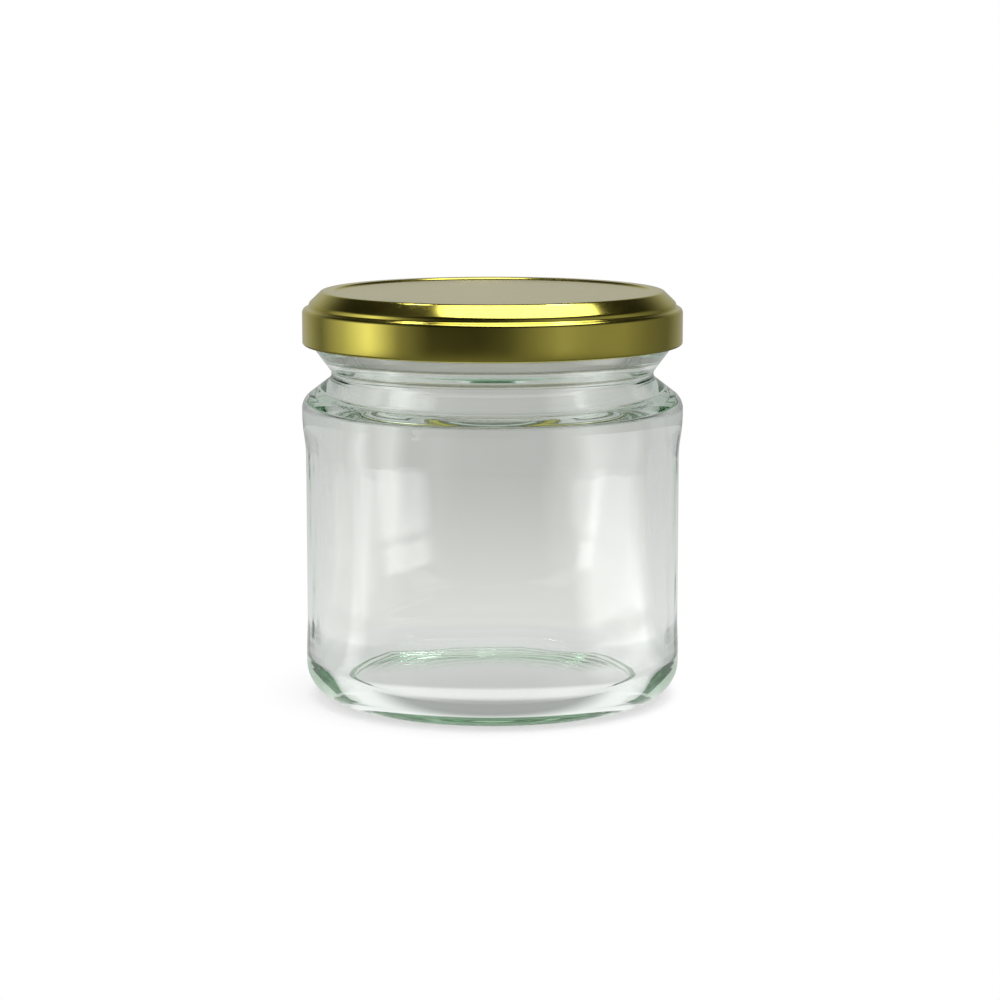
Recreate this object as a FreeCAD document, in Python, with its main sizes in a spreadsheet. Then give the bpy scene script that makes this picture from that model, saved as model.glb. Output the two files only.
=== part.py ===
"""Clear glass food jar, closed with a gold twist-off lid.

The jar stands on its foot ring at z = 0 and its axis is +Z. Sizes are millimetres.
Both pieces are turned shapes: a half section with named corners, spun round the axis,
whose corners are then rounded. The lid takes its place from the rim that it seals.
"""
import FreeCAD, Part
import os
import Sketcher

document = FreeCAD.newDocument("jar_with_lid")

# ---------------------------------------------------------------- driving dimensions
SHEET = [
    # the glass outside, from the foot up
    ("body_radius", 42.15, "label wall, outside"),
    ("heel_proud", 0.25, "how far the heel band stands out from the label wall"),
    ("shoulder_proud", 0.8, "how far the shoulder band stands out from the label wall"),
    ("heel_height", 11.0, "foot to the top of the heel band"),
    ("step_height", 6, "soft step between a band and the label wall"),
    ("label_height", 39.5, "straight part of the label wall"),
    ("shoulder_height", 5.0, "straight part of the shoulder band, before rounding"),
    ("slope_height", 5.1, "sloping shoulder, from its band up to the neck"),
    ("neck_inset", 5.85, "from the label wall in to the neck"),
    ("neck_height", 1.4, "straight part of the neck"),
    ("flare_height", 5.8, "cone from the neck out to the bead"),
    ("mouth_proud", 2.3, "how far the mouth wall stands out from the neck"),
    ("bead_proud", 2.0, "how far the bead below the mouth stands out from the mouth wall"),
    ("bead_height", 2.0, "straight face of the bead"),
    ("bead_slope", 1.0, "bevel from the bead in to the mouth wall"),
    ("mouth_wall_height", 8.95, "mouth wall, from the bead up to the rim"),
    # the glass inside
    ("wall", 2.5, "thickness of the label wall"),
    ("floor_thickness", 3.4, "foot to the edge of the floor"),
    ("floor_rise", 1.0, "how far the floor domes up at its middle"),
    ("inside_shoulder_drop", 0.8, "inside corner of the shoulder below the outside one"),
    ("inside_neck_drop", 1.4, "inside corner of the neck below the outside one"),
    ("neck_wall", 2.4, "thickness of the neck"),
    ("rim_width", 2.8, "mouth wall at the rim, from its bore to its outside"),
    # the hollow under the foot
    ("foot_width", 1.4, "the ring that the jar stands on, inside the rounded heel"),
    ("foot_bevel", 1.3, "width and height of the ring's inner bevel"),
    ("push_up_rise", 1.3, "further rise of the hollow at its middle"),
    # roundings of the glass
    ("heel_round", 7.8, "outside of the heel"),
    ("inside_heel_round", 6.0, "inside of the heel"),
    ("label_round", 24, "the soft steps of the label wall"),
    ("shoulder_round", 3.6, "outside of the shoulder"),
    ("inside_shoulder_round", 3.0, "inside of the shoulder"),
    ("inside_neck_round", 2.3, "inside of the neck, where the shoulder meets it"),
    ("neck_round", 1.3, "hollow of the neck"),
    ("bead_round", 0.8, "edges of the bead below the mouth"),
    ("rim_round", 1.1, "outer edge of the rim"),
    ("mouth_round", 0.9, "inner edge of the rim"),
    ("foot_round", 0.6, "edges of the hollow under the foot"),
    # the lid
    ("sheet", 0.25, "thickness of the lacquered tinplate"),
    ("rim_gap", 0.0, "lid above the rim: it seals face to face"),
    ("skirt_gap", 2.15, "outside of the skirt beyond the bead"),
    ("panel_gap", 0.6, "edge of the flat panel inside the bore at the rim"),
    ("panel_depth", 0.4, "flat panel below the ring over the rim"),
    ("ring_slope", 0.5, "run of the step from the panel up to the ring"),
    ("ring_inset", 0.2, "outer edge of the ring inside the mouth wall"),
    ("brow_drop", 2.7, "fall of the sloping brow"),
    ("riser_run", 0.2, "riser below the brow: run outwards"),
    ("riser_height", 1.1, "riser from the ledge to the brow"),
    ("ledge_width", 1.35, "ledge from the riser out to the skirt"),
    ("skirt_height", 7.65, "ledge down to the skirt's lower edge"),
    ("curl_radius", 0.55, "rolled hem of the skirt"),
    ("ledge_round", 1.1, "outer corner of the lid"),
    ("brow_round", 1.1, "corners of the brow"),
    ("crease_round", 0.45, "hollow corners of the pressed steps"),
]

sizes = document.addObject("Spreadsheet::Sheet", "sizes")
numbers = {}
for row, (alias, number, meaning) in enumerate(SHEET, start=1):
    sizes.set(f"A{row}", meaning)
    sizes.set(f"B{row}", str(number))
    sizes.setAlias(f"B{row}", alias)
    numbers[alias] = number
document.recompute()


class Length:
    """A length worked out from the sheet: its number places a point, its text binds it to the cells."""

    def __init__(self, number, text):
        self.number = number
        self.text = text

    def __add__(self, other):
        return Length(self.number + other.number, f"({self.text} + {other.text})")

    def __sub__(self, other):
        return Length(self.number - other.number, f"({self.text} - {other.text})")


def cell(alias):
    return Length(numbers[alias], f"sizes.{alias}")


ZERO = Length(0.0, "0")


# ---------------------------------------------------------------- helpers
def half_section(body, name, corners, dome=False):
    """A closed half section in the XZ plane, with each corner bound to the sheet.

    The first and last corners lie on the axis. With dome, the side from the first corner
    to the second is an arc centred on the axis, so that it is level at its middle.
    """
    sketch = body.newObject("Sketcher::SketchObject", name)
    plane = next(f for f in body.Origin.OriginFeatures if f.Role == "XZ_Plane")
    sketch.AttachmentSupport = (plane, [""])
    sketch.MapMode = "FlatFace"

    points = [FreeCAD.Vector(x.number, z.number, 0) for x, z in corners]
    starts = []
    ends = []
    for index, point in enumerate(points):
        following = points[(index + 1) % len(points)]
        if dome and index == 0:
            rise = point.y - following.y
            radius = (following.x ** 2 + rise ** 2) / (2 * rise)
            circle = Part.Circle(FreeCAD.Vector(0, point.y - radius, 0), FreeCAD.Vector(0, 0, 1), radius)
            arc = Part.ArcOfCircle(circle, circle.parameter(following), circle.parameter(point))
            side = sketch.addGeometry(arc)
            sketch.addConstraint(Sketcher.Constraint("PointOnObject", side, 3, -2))
            starts.append((side, 2))
            ends.append((side, 1))
        else:
            side = sketch.addGeometry(Part.LineSegment(point, following))
            starts.append((side, 1))
            ends.append((side, 2))
    for index, end in enumerate(ends):
        start = starts[(index + 1) % len(starts)]
        sketch.addConstraint(Sketcher.Constraint("Coincident", *end, *start))

    for index, (start, (x, z)) in enumerate(zip(starts, corners)):
        for kind, length, axis in (("DistanceX", x, -2), ("DistanceY", z, -1)):
            if length is ZERO:
                sketch.addConstraint(Sketcher.Constraint("PointOnObject", *start, axis))
                continue
            constraint = sketch.addConstraint(Sketcher.Constraint(kind, -1, 1, *start, length.number))
            sketch.renameConstraint(constraint, f"{kind}_{index}")
            sketch.setExpression(f"Constraints.{kind}_{index}", length.text)
    return sketch


def turned(body, kind, name, sketch):
    """Spin a half section round the axis: a Revolution adds it and a Groove cuts it away."""
    feature = body.newObject(kind, name)
    feature.Profile = sketch
    feature.ReferenceAxis = (sketch, ["V_Axis"])
    feature.Angle = 360
    body.Tip = feature
    document.recompute()
    return feature


def rounded(body, name, corners, radius):
    """Round the circular edges that pass through the given corners of the section."""
    base = body.Tip
    names = []
    for x, z in corners:
        for number, edge in enumerate(base.Shape.Edges, start=1):
            if edge.Degenerated or not isinstance(edge.Curve, Part.Circle):
                continue
            circle = edge.Curve
            if abs(circle.Radius - x.number) < 1e-4 and abs(circle.Center.z - z.number) < 1e-4:
                names.append(f"Edge{number}")
    if len(names) != len(corners):
        raise RuntimeError(f"{name}: found {len(names)} of {len(corners)} edges")
    fillet = body.newObject("PartDesign::Fillet", name)
    fillet.Base = (base, names)
    fillet.setExpression("Radius", cell(radius).text)
    body.Tip = fillet
    document.recompute()
    return fillet


# ---------------------------------------------------------------- heights and radii shared by the pieces
heel_radius = cell("body_radius") + cell("heel_proud")
shoulder_radius = cell("body_radius") + cell("shoulder_proud")
neck_radius = cell("body_radius") - cell("neck_inset")
mouth_wall_radius = neck_radius + cell("mouth_proud")
bead_radius = mouth_wall_radius + cell("bead_proud")
mouth_radius = mouth_wall_radius - cell("rim_width")
label_low = cell("heel_height") + cell("step_height")
label_high = label_low + cell("label_height")
shoulder_low = label_high + cell("step_height")
shoulder_high = shoulder_low + cell("shoulder_height")
neck_low = shoulder_high + cell("slope_height")
neck_high = neck_low + cell("neck_height")
bead_low = neck_high + cell("flare_height")
bead_high = bead_low + cell("bead_height")
mouth_low = bead_high + cell("bead_slope")
rim = mouth_low + cell("mouth_wall_height")

# ---------------------------------------------------------------- jar
jar = document.addObject("PartDesign::Body", "jar")
jar.Label = "jar"

heel = (heel_radius, ZERO)
heel_top = (heel_radius, cell("heel_height"))
label_foot = (cell("body_radius"), label_low)
label_head = (cell("body_radius"), label_high)
shoulder_foot = (shoulder_radius, shoulder_low)
shoulder_head = (shoulder_radius, shoulder_high)
neck_foot = (neck_radius, neck_low)
neck_head = (neck_radius, neck_high)
bead_foot = (bead_radius, bead_low)
bead_head = (bead_radius, bead_high)
mouth_foot = (mouth_wall_radius, mouth_low)
rim_outer = (mouth_wall_radius, rim)
outside = [
    (ZERO, ZERO), heel, heel_top, label_foot, label_head, shoulder_foot, shoulder_head,
    neck_foot, neck_head, bead_foot, bead_head, mouth_foot, rim_outer, (ZERO, rim),
]
glass = turned(jar, "PartDesign::Revolution", "outside", half_section(jar, "outside_section", outside))

cavity_radius = cell("body_radius") - cell("wall")
floor_edge = (cavity_radius, cell("floor_thickness"))
inside_shoulder = (cavity_radius, shoulder_high - cell("inside_shoulder_drop"))
neck_bore = neck_radius - cell("neck_wall")
inside_neck = (neck_bore, neck_low - cell("inside_neck_drop"))
inside_neck_top = (neck_bore, neck_low)
rim_inner = (mouth_radius, rim)
cavity = [
    (ZERO, cell("floor_thickness") + cell("floor_rise")), floor_edge, inside_shoulder,
    inside_neck, inside_neck_top, rim_inner, (ZERO, rim),
]
hollow = turned(jar, "PartDesign::Groove", "cavity", half_section(jar, "cavity_section", cavity, dome=True))

foot_inner_radius = heel_radius - cell("heel_round") - cell("foot_width")
foot_inner = (foot_inner_radius, ZERO)
push_up_edge = (foot_inner_radius - cell("foot_bevel"), cell("foot_bevel"))
push_up = [
    (ZERO, cell("foot_bevel") + cell("push_up_rise")), push_up_edge, foot_inner, (ZERO, ZERO),
]
foot = turned(jar, "PartDesign::Groove", "push_up", half_section(jar, "push_up_section", push_up, dome=True))

rounded(jar, "round_heel", [heel], "heel_round")
rounded(jar, "round_inside_heel", [floor_edge], "inside_heel_round")
rounded(jar, "round_label", [heel_top, label_foot, label_head, shoulder_foot], "label_round")
rounded(jar, "round_shoulder", [shoulder_head], "shoulder_round")
rounded(jar, "round_inside_shoulder", [inside_shoulder], "inside_shoulder_round")
rounded(jar, "round_inside_neck", [inside_neck], "inside_neck_round")
rounded(jar, "round_neck", [neck_foot, neck_head], "neck_round")
rounded(jar, "round_bead", [bead_foot, bead_head, mouth_foot], "bead_round")
rounded(jar, "round_rim", [rim_outer], "rim_round")
rounded(jar, "round_mouth", [rim_inner], "mouth_round")
rounded(jar, "round_foot", [foot_inner, push_up_edge], "foot_round")

# ---------------------------------------------------------------- lid
lid = document.addObject("PartDesign::Body", "lid")
lid.Label = "lid"

ring_top = rim + cell("rim_gap") + cell("sheet")
panel_radius = mouth_radius - cell("panel_gap")
ring_inner_radius = panel_radius + cell("ring_slope")
ring_outer_radius = mouth_wall_radius - cell("ring_inset")
lid_radius = bead_radius + cell("skirt_gap")
riser_radius = lid_radius - cell("ledge_width")
brow_radius = riser_radius - cell("riser_run")
brow_low = ring_top - cell("brow_drop")
ledge_height = brow_low - cell("riser_height")
skirt_low = ledge_height - cell("skirt_height")

skirt_foot = (lid_radius, skirt_low)
ledge_outer = (lid_radius, ledge_height)
ledge_inner = (riser_radius, ledge_height)
brow_foot = (brow_radius, brow_low)
ring_outer = (ring_outer_radius, ring_top)
ring_inner = (ring_inner_radius, ring_top)
panel_edge = (panel_radius, ring_top - cell("panel_depth"))
pressing = [
    (ZERO, skirt_low), skirt_foot, ledge_outer, ledge_inner, brow_foot, ring_outer, ring_inner,
    panel_edge, (ZERO, ring_top - cell("panel_depth")),
]
turned(lid, "PartDesign::Revolution", "pressing", half_section(lid, "pressing_section", pressing))
rounded(lid, "round_ledge", [ledge_outer], "ledge_round")
rounded(lid, "round_brow", [brow_foot, ring_outer], "brow_round")
rounded(lid, "round_creases", [ledge_inner, ring_inner, panel_edge], "crease_round")

# the sheet: the pressing hollowed from below to one even thickness
base = lid.Tip
underside = next(
    f"Face{number}" for number, face in enumerate(base.Shape.Faces, start=1)
    if abs(face.BoundBox.ZMax - skirt_low.number) < 1e-6
)
shell = lid.newObject("PartDesign::Thickness", "shell")
shell.Base = (base, [underside])
shell.setExpression("Value", cell("sheet").text)
shell.Reversed = True
lid.Tip = shell
document.recompute()

# the hem: the skirt's lower edge, rolled inwards
curl = lid.newObject("Sketcher::SketchObject", "curl_section")
curl.AttachmentSupport = (next(f for f in lid.Origin.OriginFeatures if f.Role == "XZ_Plane"), [""])
curl.MapMode = "FlatFace"
curl_centre = (lid_radius - cell("curl_radius"), skirt_low)
centre = FreeCAD.Vector(curl_centre[0].number, curl_centre[1].number, 0)
ring = curl.addGeometry(Part.Circle(centre, FreeCAD.Vector(0, 0, 1), numbers["curl_radius"]))
for kind, length in (("DistanceX", curl_centre[0]), ("DistanceY", curl_centre[1])):
    constraint = curl.addConstraint(Sketcher.Constraint(kind, -1, 1, ring, 3, length.number))
    curl.renameConstraint(constraint, kind)
    curl.setExpression(f"Constraints.{kind}", length.text)
constraint = curl.addConstraint(Sketcher.Constraint("Radius", ring, numbers["curl_radius"]))
curl.renameConstraint(constraint, "Radius")
curl.setExpression("Constraints.Radius", cell("curl_radius").text)
turned(lid, "PartDesign::Revolution", "hem", curl)

# ---------------------------------------------------------------- checks and files
document.recompute()
for item in document.Objects:
    if "Invalid" in item.State or "Error" in item.State:
        raise RuntimeError(f"{item.Name} failed: {item.State}")
if not foot.Shape.Volume < hollow.Shape.Volume < glass.Shape.Volume:
    raise RuntimeError("a hollow of the jar cut nothing")

os.makedirs("parts", exist_ok=True)
for piece in (jar, lid):
    shape = piece.Shape
    if shape.isNull() or not shape.isValid() or len(shape.Solids) != 1:
        raise RuntimeError(f"{piece.Label} is not one valid solid")
    shape.exportStep(f"parts/{piece.Label}.step")
    print(f"{piece.Label}: {shape.Volume / 1000:.2f} cm3, z {shape.BoundBox.ZMin:.2f} to {shape.BoundBox.ZMax:.2f}")
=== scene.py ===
# %% [markdown]
# # A closed glass jar with a gold lid
#
# This lesson dresses a small glass food jar with a twist-off lid. The two solids of the model come
# first, as a fixed frame. They stay where they are, and each one is replaced by a finer mesh.
# Both are turned shapes, so both are made in the same way: a profile is drawn from one vertex,
# extruded from corner to corner, its corners are bevelled, and it is spun round the axis.

# %% Load the frame
import math

import bpy
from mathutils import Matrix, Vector


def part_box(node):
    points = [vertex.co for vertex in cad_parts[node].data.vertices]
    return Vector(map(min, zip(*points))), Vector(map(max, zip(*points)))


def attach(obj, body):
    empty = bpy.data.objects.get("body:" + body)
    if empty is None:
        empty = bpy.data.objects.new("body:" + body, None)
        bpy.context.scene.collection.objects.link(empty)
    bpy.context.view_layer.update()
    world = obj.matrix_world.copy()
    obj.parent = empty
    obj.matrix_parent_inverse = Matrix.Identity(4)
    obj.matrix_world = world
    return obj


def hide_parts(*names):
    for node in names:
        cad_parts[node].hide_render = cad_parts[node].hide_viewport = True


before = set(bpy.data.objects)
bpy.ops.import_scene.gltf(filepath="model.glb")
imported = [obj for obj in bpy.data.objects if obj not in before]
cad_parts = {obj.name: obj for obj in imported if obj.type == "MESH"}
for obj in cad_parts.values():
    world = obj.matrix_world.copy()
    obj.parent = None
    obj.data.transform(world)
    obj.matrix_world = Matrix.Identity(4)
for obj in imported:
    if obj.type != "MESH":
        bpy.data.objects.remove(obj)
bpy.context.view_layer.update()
jar_low, jar_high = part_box("jar")
lid_low, lid_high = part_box("lid")
print("jar", jar_low, jar_high)
print("lid", lid_low, lid_high)

MM = 0.001

# %% [markdown]
# ## Turning a profile
#
# A jar is blown in a round mould and a lid is pressed from a round blank, so a half section tells
# everything about them. A primitive cylinder would have to be cut and scaled for each band.
# One vertex, extruded along the section, gives every corner its true radius and height at once.
# A bevel on a vertex rounds the corner by its own amount, and the spin makes the surface.


# %% Drawing a profile from one vertex
def deselect_all():
    if bpy.context.mode != "OBJECT":
        bpy.ops.object.mode_set(mode="OBJECT")
    bpy.ops.object.select_all(action="DESELECT")


def start_vertex(name, place):
    """A new mesh that holds one vertex, in edit mode."""
    deselect_all()
    bpy.ops.mesh.primitive_plane_add(size=MM)
    piece = bpy.context.object
    piece.name = name
    piece.data.name = name
    bpy.ops.object.mode_set(mode="EDIT")
    bpy.ops.mesh.select_mode(type="VERT")
    bpy.ops.mesh.select_all(action="SELECT")
    bpy.ops.mesh.merge(type="CENTER")
    bpy.ops.transform.translate(value=place)
    return piece


def draw_profile(name, corners):
    """Extrudes one vertex from corner to corner. A corner is (radius, height, rounding)."""
    places = [Vector((radius, 0, height)) for radius, height, _ in corners]
    piece = start_vertex(name, places[0])
    for here, there in zip(places, places[1:]):
        bpy.ops.mesh.extrude_region_move(TRANSFORM_OT_translate={"value": there - here})
    return piece


# %% [markdown]
# A rounding of a given radius starts further from its corner the sharper the corner turns:
# the distance is the radius times the tangent of half the turn.


# %% Rounding the corners
SEGMENT_ANGLE = math.radians(9)


def round_corners(piece, corners):
    for before, corner, after in zip(corners, corners[1:], corners[2:]):
        rounding = corner[2]
        if not rounding:
            continue
        place = Vector((corner[0], 0, corner[1]))
        inwards = place - Vector((before[0], 0, before[1]))
        outwards = Vector((after[0], 0, after[1])) - place
        turn = inwards.angle(outwards)
        bpy.ops.mesh.select_all(action="DESELECT")
        bpy.ops.object.mode_set(mode="OBJECT")
        for vertex in piece.data.vertices:
            vertex.select = (vertex.co - place).length < 0.001 * MM
        bpy.ops.object.mode_set(mode="EDIT")
        bpy.ops.mesh.bevel(
            affect="VERTICES",
            offset=rounding * math.tan(turn / 2),
            segments=max(2, round(turn / SEGMENT_ANGLE)),
            clamp_overlap=False,
        )


def divide_long_edges(piece, longest):
    """Cuts the straight runs of a profile into short edges, so that the surface can be bent."""
    bpy.ops.object.mode_set(mode="OBJECT")
    mesh = piece.data
    lengths = {
        edge.index: (mesh.vertices[edge.vertices[0]].co - mesh.vertices[edge.vertices[1]].co).length
        for edge in mesh.edges
    }
    cuts_needed = sorted({int(length / longest) for length in lengths.values()} - {0})
    for cuts in cuts_needed:
        bpy.ops.object.mode_set(mode="EDIT")
        bpy.ops.mesh.select_all(action="DESELECT")
        bpy.ops.object.mode_set(mode="OBJECT")
        for edge in mesh.edges:
            ends = [mesh.vertices[index].co for index in edge.vertices]
            edge.select = int((ends[0] - ends[1]).length / longest) == cuts
        bpy.ops.object.mode_set(mode="EDIT")
        bpy.ops.mesh.select_mode(type="EDGE")
        bpy.ops.mesh.subdivide(number_cuts=cuts)
        bpy.ops.mesh.select_mode(type="VERT")


# %% Spinning it round the axis
def spin_profile(piece, steps):
    bpy.ops.object.mode_set(mode="EDIT")
    bpy.ops.mesh.select_all(action="SELECT")
    bpy.ops.mesh.spin(steps=steps, angle=2 * math.pi, center=(0, 0, 0), axis=(0, 0, 1))
    bpy.ops.mesh.select_all(action="SELECT")
    bpy.ops.mesh.remove_doubles(threshold=0.002 * MM)
    bpy.ops.mesh.normals_make_consistent(inside=False)
    bpy.ops.object.mode_set(mode="OBJECT")
    deselect_all()
    piece.select_set(True)
    bpy.context.view_layer.objects.active = piece
    bpy.ops.object.shade_smooth()
    print(piece.name, len(piece.data.polygons), "faces")


# %% [markdown]
# ## The glass jar
#
# The outside follows the frame: a rounded heel, a label wall sunk a little between its two bands,
# the shoulder, a neck, a cone up to the bead, and the mouth wall that the lid covers. The inside
# follows it at the thickness of the glass, which is greatest in the heel and at the shoulder.

# %% Jar sizes
HEEL_ROUND = 7.8 * MM
HEEL_HEIGHT = 11.0 * MM
SINK_HEIGHT = 6.0 * MM
LABEL_ROUND = 24 * MM
SHOULDER_ROUND = 3.6 * MM
NECK_ROUND = 1.3 * MM
BEAD_ROUND = 0.8 * MM
FOOT_SLOPE = 1.3 * MM
FOOT_ROUND = 0.6 * MM
FLOOR_RADIUS_INSET = 6.0 * MM
DOME_RINGS = 12

shoulder_radius = jar_high.x
rim_height = jar_high.z
label_radius = shoulder_radius - 0.8 * MM
heel_radius = label_radius + 0.25 * MM
neck_radius = label_radius - 5.85 * MM
mouth_wall_radius = neck_radius + 2.3 * MM
bead_radius = mouth_wall_radius + 2.0 * MM
mouth_radius = mouth_wall_radius - 2.8 * MM
cavity_radius = label_radius - 2.5 * MM
neck_bore = neck_radius - 2.4 * MM
foot_inner_radius = heel_radius - 9.2 * MM

mouth_foot = rim_height - 8.95 * MM
bead_top = mouth_foot - 1.0 * MM
bead_foot = bead_top - 2.0 * MM
neck_top = bead_foot - 5.8 * MM
neck_foot = neck_top - 1.4 * MM
shoulder_top = neck_foot - 5.1 * MM
shoulder_foot = shoulder_top - 5.0 * MM


def dome(rim_radius, rim_level, rise, rings):
    """Corners of a shallow dome from its middle out to its rim."""
    shares = [index / rings for index in range(rings)]
    return [(rim_radius * share, rim_level + rise * (1 - share**2), 0) for share in shares]


hollow_radius = foot_inner_radius - FOOT_SLOPE
push_up = dome(hollow_radius, FOOT_SLOPE, 1.3 * MM, DOME_RINGS)
floor = dome(cavity_radius - FLOOR_RADIUS_INSET, 3.6 * MM, 0.7 * MM, DOME_RINGS)
jar_corners = [
    *push_up,
    (hollow_radius, FOOT_SLOPE, FOOT_ROUND),
    (foot_inner_radius, 0, FOOT_ROUND),
    (heel_radius, 0, HEEL_ROUND),
    (heel_radius, HEEL_HEIGHT, LABEL_ROUND),
    (label_radius, HEEL_HEIGHT + SINK_HEIGHT, LABEL_ROUND),
    (label_radius, shoulder_foot - SINK_HEIGHT, LABEL_ROUND),
    (shoulder_radius, shoulder_foot, LABEL_ROUND),
    (shoulder_radius, shoulder_top, SHOULDER_ROUND),
    (neck_radius, neck_foot, NECK_ROUND),
    (neck_radius, neck_top, NECK_ROUND),
    (bead_radius, bead_foot, BEAD_ROUND),
    (bead_radius, bead_top, BEAD_ROUND),
    (mouth_wall_radius, mouth_foot, BEAD_ROUND),
    (mouth_wall_radius, rim_height, 1.1 * MM),
    (mouth_radius, rim_height, 0.9 * MM),
    (mouth_radius, bead_foot - 2.0 * MM, 1.5 * MM),
    (neck_bore, neck_top + 1.2 * MM, 1.5 * MM),
    (neck_bore, neck_foot - 1.4 * MM, 2.3 * MM),
    (cavity_radius - 3.0 * MM, shoulder_top - 0.2 * MM, 1.2 * MM),
    (cavity_radius, shoulder_top - 1.9 * MM, 0.8 * MM),
    (cavity_radius, 3.5 * MM, 6.0 * MM),
    *reversed(floor),
]

# %% Turn the jar
SPIN_STEPS = 256
LONGEST_EDGE = 2.0 * MM

jar = draw_profile("jar_glass", jar_corners)
round_corners(jar, jar_corners)
divide_long_edges(jar, LONGEST_EDGE)
spin_profile(jar, SPIN_STEPS)

# %% [markdown]
# The outside of a blown jar takes the true shape of its mould, but the inside is shaped by air
# alone and runs in soft upright waves. A bump would bend the light on both sides of the wall by
# the same amount, and the two would cancel out. So the inner wall itself is displaced, through a
# vertex group that holds it alone, by a cloud texture that an empty stretches upwards.

# %% Waves in the inner wall
WAVE_DEPTH = 0.35 * MM
WAVE_WIDTH = 11 * MM
WAVE_STRETCH = 4
WAVES_START = 12 * MM
FADE_AT_FLOOR = 8 * MM
FADE_AT_SHOULDER = 6 * MM

wall_middle = (label_radius + cavity_radius) / 2
inner_wall = jar.vertex_groups.new(name="inner_wall")
for vertex in jar.data.vertices:
    across = math.hypot(vertex.co.x, vertex.co.y)
    above_floor = (vertex.co.z - WAVES_START) / FADE_AT_FLOOR
    below_shoulder = (shoulder_foot - vertex.co.z) / FADE_AT_SHOULDER
    weight = min(1, above_floor, below_shoulder)
    if across < wall_middle and weight > 0:
        inner_wall.add([vertex.index], weight, "REPLACE")

waves = bpy.data.textures.new("waves", "CLOUDS")
waves.noise_scale = WAVE_WIDTH
deselect_all()
bpy.ops.object.empty_add()
stretch = bpy.context.object
stretch.scale = (1, 1, WAVE_STRETCH)
displace = jar.modifiers.new("waves", "DISPLACE")
displace.texture = waves
displace.texture_coords = "OBJECT"
displace.texture_coords_object = stretch
displace.vertex_group = inner_wall.name
displace.strength = WAVE_DEPTH
deselect_all()
jar.select_set(True)
bpy.context.view_layer.objects.active = jar
bpy.ops.object.modifier_apply(modifier=displace.name)
bpy.data.objects.remove(stretch)
print("inner wall waves", WAVE_DEPTH)

# %% [markdown]
# ## The lid
#
# A twist-off lid is pressed from thin tinplate: a flat panel, a ring that seats on the rim,
# a sloping brow, a narrow ledge and a skirt whose lower edge is rolled inwards. The profile of
# its outer side is turned as one surface, and a Solidify modifier gives the sheet its thickness.

# %% Lid sizes
SHEET = 0.25 * MM
CURL_RADIUS = 0.55 * MM
lid_radius = lid_high.x
ring_top = lid_high.z
panel_level = ring_top - 0.4 * MM
panel_radius = mouth_radius - 0.6 * MM
ring_radius = mouth_wall_radius - 0.2 * MM
riser_radius = lid_radius - 1.35 * MM
brow_level = ring_top - 2.7 * MM
ledge_level = brow_level - 1.1 * MM
curl_level = lid_low.z + CURL_RADIUS


def curl(steps):
    """Corners of the rolled hem: three quarters of a circle, from the skirt down and inwards."""
    corners = []
    for index in range(steps + 1):
        angle = -math.radians(270) * index / steps
        radius = lid_radius - CURL_RADIUS + CURL_RADIUS * math.cos(angle)
        corners.append((radius, curl_level + CURL_RADIUS * math.sin(angle), 0))
    return corners


lid_corners = [
    *dome(panel_radius - 1.0 * MM, panel_level, 0.0, 8),
    (panel_radius, panel_level, 0.45 * MM),
    (panel_radius + 0.5 * MM, ring_top, 0.45 * MM),
    (ring_radius, ring_top, 1.1 * MM),
    (riser_radius - 0.2 * MM, brow_level, 1.1 * MM),
    (riser_radius, ledge_level, 0.45 * MM),
    (lid_radius, ledge_level, 1.1 * MM),
    *curl(18),
]

# %% Turn the lid
lid = draw_profile("lid_tinplate", lid_corners)
round_corners(lid, lid_corners)
spin_profile(lid, SPIN_STEPS)

# %% [markdown]
# ## Building materials
#
# Every node tree below is built by one helper, which makes a node, sets it up and joins its
# inputs: an input is either a plain value or the output of an earlier node.


# %% Node helper
def node(tree, kind, settings=(), inputs=()):
    made = tree.nodes.new(kind)
    for key, value in dict(settings).items():
        setattr(made, key, value)
    for key, value in dict(inputs).items():
        if isinstance(value, bpy.types.NodeSocket):
            tree.links.new(value, made.inputs[key])
        else:
            made.inputs[key].default_value = value
    return made


def new_material(name):
    material = bpy.data.materials.new(name)
    material.use_nodes = True
    material.node_tree.nodes.clear()
    return material, material.node_tree


def blend(tree, factor, first, second):
    """A mix of two numbers: the first at factor 0, the second at factor 1."""
    mix = node(tree, "ShaderNodeMix", {"data_type": "FLOAT"}, {0: factor, 2: first, 3: second})
    return mix.outputs[0]


def ramp(tree, share, stops):
    """A colour ramp in greys, from (place, level) pairs."""
    made = node(tree, "ShaderNodeValToRGB", inputs={"Fac": share})
    elements = made.color_ramp.elements
    while len(elements) > 1:
        elements.remove(elements[0])
    for index, (place, level) in enumerate(stops):
        element = elements[0] if index == 0 else elements.new(place)
        element.position = place
        element.color = (level, level, level, 1)
    return made.outputs["Color"]


def stretch_ramp(tree, place, stops):
    """A grey ramp along one axis, from (millimetres, level) pairs."""
    first, last = stops[0][0], stops[-1][0]
    share = node(
        tree,
        "ShaderNodeMapRange",
        inputs={"Value": place, "From Min": first * MM, "From Max": last * MM},
    )
    return ramp(
        tree,
        share.outputs["Result"],
        [((stop - first) / (last - first), level) for stop, level in stops],
    )


def plain_for_diffuse(tree, seen, level):
    """The level for polished surfaces, and a plain 1 once light has met a matt surface."""
    met = node(
        tree, "ShaderNodeMath", {"operation": "MINIMUM"}, {0: seen.outputs["Diffuse Depth"], 1: 1.0}
    )
    return blend(tree, met.outputs["Value"], level, 1.0)


# %% [markdown]
# The table and the room both change round the compass, so the sum that turns a place or a
# direction into a compass share is a node group. The front is 0.5, left is less and right is more.


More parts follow.
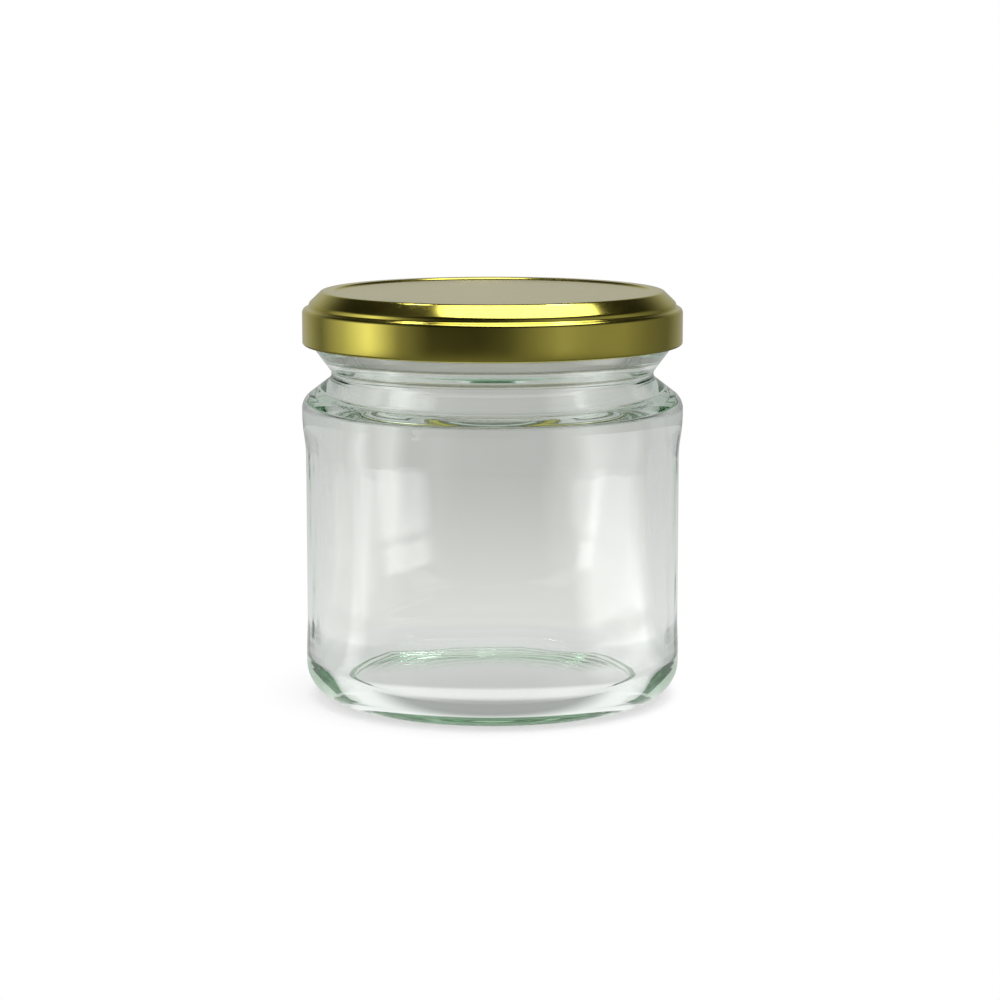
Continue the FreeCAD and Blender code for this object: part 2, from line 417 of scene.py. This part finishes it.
# %% Compass group
def make_compass():
    group = bpy.data.node_groups.new("compass", "ShaderNodeTree")
    group.interface.new_socket("Place", in_out="INPUT", socket_type="NodeSocketVector")
    group.interface.new_socket("Share", in_out="OUTPUT", socket_type="NodeSocketFloat")
    start = node(group, "NodeGroupInput")
    split = node(group, "ShaderNodeSeparateXYZ", inputs={"Vector": start.outputs["Place"]})
    front = node(
        group, "ShaderNodeMath", {"operation": "MULTIPLY"}, {0: split.outputs["Y"], 1: -1.0}
    )
    angle = node(
        group,
        "ShaderNodeMath",
        {"operation": "ARCTAN2"},
        {0: split.outputs["X"], 1: front.outputs["Value"]},
    )
    share = node(
        group,
        "ShaderNodeMapRange",
        inputs={"Value": angle.outputs["Value"], "From Min": -math.pi, "From Max": math.pi},
    )
    node(group, "NodeGroupOutput", inputs={"Share": share.outputs["Result"]})
    return group


COMPASS = make_compass()


def compass_ramp(tree, place, stops):
    """A grey ramp round the compass, from (degrees, level) pairs, with 0 degrees at the front."""
    compass = node(tree, "ShaderNodeGroup", {"node_tree": COMPASS}, {"Place": place})
    return ramp(
        tree,
        compass.outputs["Share"],
        [((degrees + 180) / 360, level) for degrees, level in stops],
    )


# %% [markdown]
# ## Glass
#
# Food jars are made of soda lime glass with a trace of iron, which tints thick places green.
# The surface stays colourless, and a Volume Absorption takes out a little red and blue for each
# millimetre that the light travels, so the wall looks clear and the heel and foot look green.


# %% Glass material
def glass_material():
    material, tree = new_material("green_tinted_glass")
    surface = node(
        tree,
        "ShaderNodeBsdfPrincipled",
        inputs={
            "Base Color": (1, 1, 1, 1),
            "Roughness": 0.0,
            "IOR": 1.52,
            "Transmission Weight": 1.0,
        },
    )
    tint = node(
        tree,
        "ShaderNodeVolumeAbsorption",
        inputs={"Color": (0.35, 0.68, 0.42, 1), "Density": 15},
    )
    node(
        tree,
        "ShaderNodeOutputMaterial",
        inputs={"Surface": surface.outputs["BSDF"], "Volume": tint.outputs["Volume"]},
    )
    return material


jar.data.materials.append(glass_material())

# %% [markdown]
# ## Gold lacquer and white enamel
#
# The gold of a jar lid is a yellow lacquer baked onto bright tinplate, so it is a metal with a
# strong yellow tint. It is smooth but not a perfect mirror. The side that faces the food is
# coated with white enamel, which shows through the glass of the neck. Solidify gives its inner
# shell the second material, so both have to be on the lid before the modifier is applied.


# %% Lid materials
def gold_material():
    material, tree = new_material("gold_lacquered_tinplate")
    place = node(tree, "ShaderNodeTexCoord")
    grain = node(
        tree,
        "ShaderNodeTexNoise",
        inputs={"Vector": place.outputs["Object"], "Scale": 260.0, "Detail": 4.0},
    )
    lacquer = node(
        tree,
        "ShaderNodeMix",
        {"data_type": "RGBA"},
        {0: grain.outputs["Fac"], 6: (0.90, 0.81, 0.17, 1), 7: (0.85, 0.74, 0.13, 1)},
    )
    polish = blend(tree, grain.outputs["Fac"], 0.11, 0.17)
    surface = node(
        tree,
        "ShaderNodeBsdfPrincipled",
        inputs={"Base Color": lacquer.outputs[2], "Metallic": 1.0, "Roughness": polish},
    )
    node(tree, "ShaderNodeOutputMaterial", inputs={"Surface": surface.outputs["BSDF"]})
    return material


def enamel_material():
    material, tree = new_material("white_enamel")
    place = node(tree, "ShaderNodeTexCoord")
    grain = node(
        tree,
        "ShaderNodeTexNoise",
        inputs={"Vector": place.outputs["Object"], "Scale": 120.0, "Detail": 3.0},
    )
    white = node(
        tree,
        "ShaderNodeMix",
        {"data_type": "RGBA"},
        {0: grain.outputs["Fac"], 6: (0.90, 0.89, 0.85, 1), 7: (0.86, 0.84, 0.79, 1)},
    )
    surface = node(
        tree,
        "ShaderNodeBsdfPrincipled",
        inputs={"Base Color": white.outputs[2], "Roughness": 0.35},
    )
    node(tree, "ShaderNodeOutputMaterial", inputs={"Surface": surface.outputs["BSDF"]})
    return material


lid.data.materials.append(gold_material())
lid.data.materials.append(enamel_material())

deselect_all()
lid.select_set(True)
bpy.context.view_layer.objects.active = lid
sheet = lid.modifiers.new("sheet", "SOLIDIFY")
sheet.thickness = SHEET
sheet.offset = -1
sheet.material_offset = 1
bpy.ops.object.modifier_apply(modifier=sheet.name)
print(lid.name, len(lid.data.polygons), "faces")

# %% Join the pieces to the frame
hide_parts("jar")
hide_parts("lid")
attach(jar, "root")
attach(lid, "root")

# %% [markdown]
# ## Table
#
# The table is a white disc, a hair below the foot, so that the two faces don't coincide. Near the
# jar it is a plain diffuse white that takes the shadow, and further out it fades into the white
# of the background. Polished glass sees painted light and shade on it: painted grey levels and two
# glowing patches, painted window reflections to the left and to the right, which are mirrored by
# the side wall. The lid is a little rough, so the light that it reflects isn't singular, and for
# it the table is painted dark.

# %% Table disc
TABLE_RADIUS = 0.42
TABLE_DROP = 0.05 * MM
FADE_RADIUS = 0.075
# Painted dark reflection: the level that the lid's rough reflections see on the white table
PAINTED_DARK_FOR_METAL = 0.12
# Millimetres behind the axis, and the painted light level that polished glass sees on the table
# there
PAINTED_TABLE_LEVELS = [
    (-60, 0.4),
    (-33, 0.4),
    (-27, 1.0),
    (-15, 1.05),
    (-7, 0.6),
    (20, 0.62),
    (40, 0.78),
    (100, 0.74),
    (300, 0.62),
]
# How bright the painted window reflections glow on the table
PAINTED_WINDOW_GLOW = 3.0
# Degrees round from the front, and how much of a painted window reflection lies there
PAINTED_WINDOWS = [
    (-180, 0),
    (-116, 0),
    (-106, 0.1),
    (-86, 0.16),
    (-82, 0.7),
    (-78, 0.7),
    (-72, 0.16),
    (-60, 0.1),
    (-50, 0),
    (46, 0),
    (58, 0.9),
    (90, 0.9),
    (97, 0.3),
    (106, 0),
    (180, 0),
]
# Share of the way to the edge of the table, and how much of a painted window reflection is lit
# there
PAINTED_WINDOW_PANES = [(0.17, 0), (0.21, 1), (0.28, 1), (0.31, 0.4), (0.34, 0.4), (0.37, 1), (1.0, 0.8)]

deselect_all()
bpy.ops.mesh.primitive_circle_add(vertices=128, radius=TABLE_RADIUS, fill_type="NGON")
table = bpy.context.object
table.name = "table"
table.location.z = -TABLE_DROP


def table_material():
    material, tree = new_material("white_table_painted_reflections")
    place = node(tree, "ShaderNodeTexCoord").outputs["Object"]
    away = node(tree, "ShaderNodeVectorMath", {"operation": "LENGTH"}, {0: place})
    fade = node(
        tree,
        "ShaderNodeMapRange",
        {"interpolation_type": "SMOOTHSTEP"},
        {"Value": away.outputs["Value"], "From Min": 0.0, "From Max": FADE_RADIUS},
    )
    edge_share = node(
        tree,
        "ShaderNodeMath",
        {"operation": "DIVIDE"},
        {0: away.outputs["Value"], 1: TABLE_RADIUS},
    )
    painted_window_share = node(
        tree,
        "ShaderNodeMath",
        {"operation": "MULTIPLY"},
        {
            0: compass_ramp(tree, place, PAINTED_WINDOWS),
            1: ramp(tree, edge_share.outputs["Value"], PAINTED_WINDOW_PANES),
        },
    )
    split = node(tree, "ShaderNodeSeparateXYZ", inputs={"Vector": place})
    grey = stretch_ramp(tree, split.outputs["Y"], PAINTED_TABLE_LEVELS)
    seen = node(tree, "ShaderNodeLightPath")
    polished = node(
        tree,
        "ShaderNodeMath",
        {"operation": "MAXIMUM"},
        {0: seen.outputs["Is Singular Ray"], 1: seen.outputs["Is Transmission Ray"]},
    )
    # Painted reflections: glowing window patches over the painted grey levels, for polished rays
    # only
    level = blend(tree, painted_window_share.outputs["Value"], grey, PAINTED_WINDOW_GLOW)
    # Painted dark reflection for rays that are neither singular nor transmitted
    level = blend(tree, polished.outputs["Value"], PAINTED_DARK_FOR_METAL, level)
    level = plain_for_diffuse(tree, seen, level)
    level = blend(tree, seen.outputs["Is Glossy Ray"], 1.0, level)
    lit = node(
        tree,
        "ShaderNodeMath",
        {"operation": "MAXIMUM"},
        {0: fade.outputs["Result"], 1: seen.outputs["Is Glossy Ray"]},
    )
    white = node(tree, "ShaderNodeBsdfDiffuse", inputs={"Color": (0.92, 0.92, 0.92, 1)})
    glow = node(tree, "ShaderNodeEmission", inputs={"Strength": level})
    mix = node(
        tree,
        "ShaderNodeMixShader",
        inputs={0: lit.outputs["Value"], 1: white.outputs["BSDF"], 2: glow.outputs["Emission"]},
    )
    node(tree, "ShaderNodeOutputMaterial", inputs={"Surface": mix.outputs["Shader"]})
    return material


table.data.materials.append(table_material())
print("table", TABLE_RADIUS)

# %% [markdown]
# ## Room
#
# The background is white to the camera, and it lights everything evenly. Metal and glass also
# need something to reflect, so reflected rays see the walls of a studio: bright boxes to the
# sides, a dark gap at the front, and darkness above. The walls are a ramp over the compass.

# %% Studio walls
# Degrees round from the front, positive to the right, and the brightness of the wall there
WALLS = [
    (-180, 0.45),
    (-150, 0.35),
    (-125, 0.12),
    (-101, 0.44),
    (-79, 1.0),
    (-58, 0.2),
    (-38, 0.03),
    (-10, 0.02),
    (8, 0.05),
    (23, 0.16),
    (42, 0.32),
    (62, 0.24),
    (84, 0.24),
    (106, 0.14),
    (130, 0.1),
    (155, 0.3),
    (180, 0.45),
]
DARK_ABOVE = 0.95
BEHIND_GLASS = 0.62


def build_room():
    world = bpy.data.worlds.new("studio")
    bpy.context.scene.world = world
    world.use_nodes = True
    tree = world.node_tree
    tree.nodes.clear()
    direction = node(tree, "ShaderNodeTexCoord").outputs["Generated"]
    walls = compass_ramp(tree, direction, WALLS)
    split = node(tree, "ShaderNodeSeparateXYZ", inputs={"Vector": direction})
    ceiling = node(
        tree,
        "ShaderNodeMapRange",
        {"interpolation_type": "SMOOTHSTEP"},
        {"Value": split.outputs["Z"], "From Min": 0.2, "From Max": 0.6, "To Max": DARK_ABOVE},
    )
    seen = node(tree, "ShaderNodeLightPath")
    level = blend(tree, seen.outputs["Is Transmission Ray"], walls, BEHIND_GLASS)
    level = blend(tree, ceiling.outputs["Result"], level, 0.0)
    level = plain_for_diffuse(tree, seen, level)
    level = blend(tree, seen.outputs["Is Glossy Ray"], 1.0, level)
    background = node(tree, "ShaderNodeBackground", inputs={"Strength": level})
    background.inputs["Color"].default_value = (1, 1, 1, 1)
    node(
        tree, "ShaderNodeOutputWorld", inputs={"Surface": background.outputs["Background"]}
    )


build_room()

# %% [markdown]
# ## Card of painted shade behind the jar
#
# Clear glass on white has no body of its own. A striped grey card stands behind the jar and glows
# with painted shade, and only light that has come through the glass sees it. It is darkest in the
# middle of its top edge. Its stripes are painted streaks of light and shade that stand in for the
# upright waves of a blown wall, and its sides fade out.

# %% Grey card of painted shade
CARD_HEIGHT = 80 * MM
CARD_AWAY = label_radius + 18 * MM
# Millimetres to the right of the axis, and the painted grey of the streak stripe there
PAINTED_STREAK_STRIPES = [
    (-54, 0.62),
    (-43, 0.60),
    (-37, 0.72),
    (-34, 0.60),
    (-31, 0.66),
    (-27, 0.74),
    (-22, 0.52),
    (-14, 0.54),
    (-8, 0.50),
    (14, 0.48),
    (18, 0.56),
    (26, 0.68),
    (36, 0.54),
    (54, 0.50),
]
CARD_WIDTH = (PAINTED_STREAK_STRIPES[-1][0] - PAINTED_STREAK_STRIPES[0][0]) * MM
CARD_FOOT_PAINTED_GREY = 0.78
CARD_WHITE = (1.0, 1.0, 0.97, 1)

deselect_all()
bpy.ops.mesh.primitive_plane_add(size=1, rotation=(math.radians(90), 0, 0))
bpy.ops.transform.resize(value=(CARD_WIDTH, 1, CARD_HEIGHT))
bpy.ops.object.transform_apply(location=False, rotation=True, scale=True)
card = bpy.context.object
card.name = "painted_shade_card"
card.location = (0, CARD_AWAY, CARD_HEIGHT / 2)
card.visible_camera = False
card.visible_diffuse = False
card.visible_glossy = False
card.visible_shadow = False


def card_material():
    material, tree = new_material("painted_shade_card")
    place = node(tree, "ShaderNodeTexCoord")
    split = node(tree, "ShaderNodeSeparateXYZ", inputs={"Vector": place.outputs["Object"]})
    stripes = stretch_ramp(tree, split.outputs["X"], PAINTED_STREAK_STRIPES)
    foot = node(
        tree,
        "ShaderNodeMapRange",
        {"interpolation_type": "SMOOTHSTEP"},
        {
            "Value": split.outputs["Z"],
            "From Min": CARD_HEIGHT * 0.15,
            "From Max": -CARD_HEIGHT * 0.5,
        },
    )
    # Painted shade: the glow that the glass shows as its body and streaks, lighter towards the foot
    level = blend(tree, foot.outputs["Result"], stripes, CARD_FOOT_PAINTED_GREY)
    aside = node(tree, "ShaderNodeMath", {"operation": "ABSOLUTE"}, {0: split.outputs["X"]})
    edge = node(
        tree,
        "ShaderNodeMapRange",
        {"interpolation_type": "SMOOTHSTEP"},
        {
            "Value": aside.outputs["Value"],
            "From Min": CARD_WIDTH * 0.42,
            "From Max": CARD_WIDTH * 0.5,
        },
    )
    clear = node(tree, "ShaderNodeBsdfTransparent")
    glow = node(tree, "ShaderNodeEmission", inputs={"Color": CARD_WHITE, "Strength": level})
    mix = node(
        tree,
        "ShaderNodeMixShader",
        inputs={0: edge.outputs["Result"], 1: glow.outputs["Emission"], 2: clear.outputs["BSDF"]},
    )
    node(tree, "ShaderNodeOutputMaterial", inputs={"Surface": mix.outputs["Shader"]})
    return material


card.data.materials.append(card_material())
print("card", CARD_WIDTH, CARD_HEIGHT)

# %% [markdown]
# ## Lamps
#
# A wide lamp overhead draws the bright band on the brow of the lid. Two small ones put the
# sparks on the shoulder of the glass and on the ring of the lid. They are bright but tiny, so
# they add next to nothing to the light on the object.


# %% Lamps overhead
def add_lamp(name, place, size, power):
    deselect_all()
    aim = Vector(place) - Vector((0, 0, shoulder_top))
    turn = aim.to_track_quat("Z", "Y").to_euler()
    bpy.ops.object.light_add(type="AREA", location=place, rotation=turn)
    lamp = bpy.context.object
    lamp.name = name
    lamp.data.shape = "DISK"
    lamp.data.size = size
    lamp.data.energy = power
    lamp.visible_camera = False


add_lamp("overhead", (0.12, -0.05, 0.75), 0.76, 3.0)
add_lamp("left_spark", (-0.17, 0.14, 0.52), 0.07, 0.16)
add_lamp("right_spark", (0.155, 0.12, 0.53), 0.07, 0.16)

# %% [markdown]
# ## Camera
#
# The camera stands a little above the jar, so that the lid is seen as a narrow ellipse, and far
# enough away that its sides stay upright. Light that enters the heel is mirrored a dozen times
# inside the thin floor before it leaves, so glass needs many bounces, or its foot turns black.

# %% Camera
ELEVATION = math.radians(8.9)
DISTANCE = 0.65
LENS = 103
MOST_BOUNCES = 48
GLASS_BOUNCES = 40
TARGET = Vector((0, 0, 44.2 * MM))
deselect_all()
bpy.ops.object.camera_add()
camera = bpy.context.object
camera.data.lens = LENS
camera.data.sensor_width = 36
camera.data.shift_x = 0.0075
camera.data.clip_start = 0.01
back = Vector((0, -math.cos(ELEVATION), math.sin(ELEVATION)))
camera.location = TARGET + DISTANCE * back
camera.rotation_euler = back.to_track_quat("Z", "Y").to_euler()

scene = bpy.context.scene
scene.camera = camera
scene.cycles.max_bounces = MOST_BOUNCES
scene.cycles.glossy_bounces = GLASS_BOUNCES
scene.cycles.transmission_bounces = GLASS_BOUNCES
scene.view_settings.view_transform = "Standard"
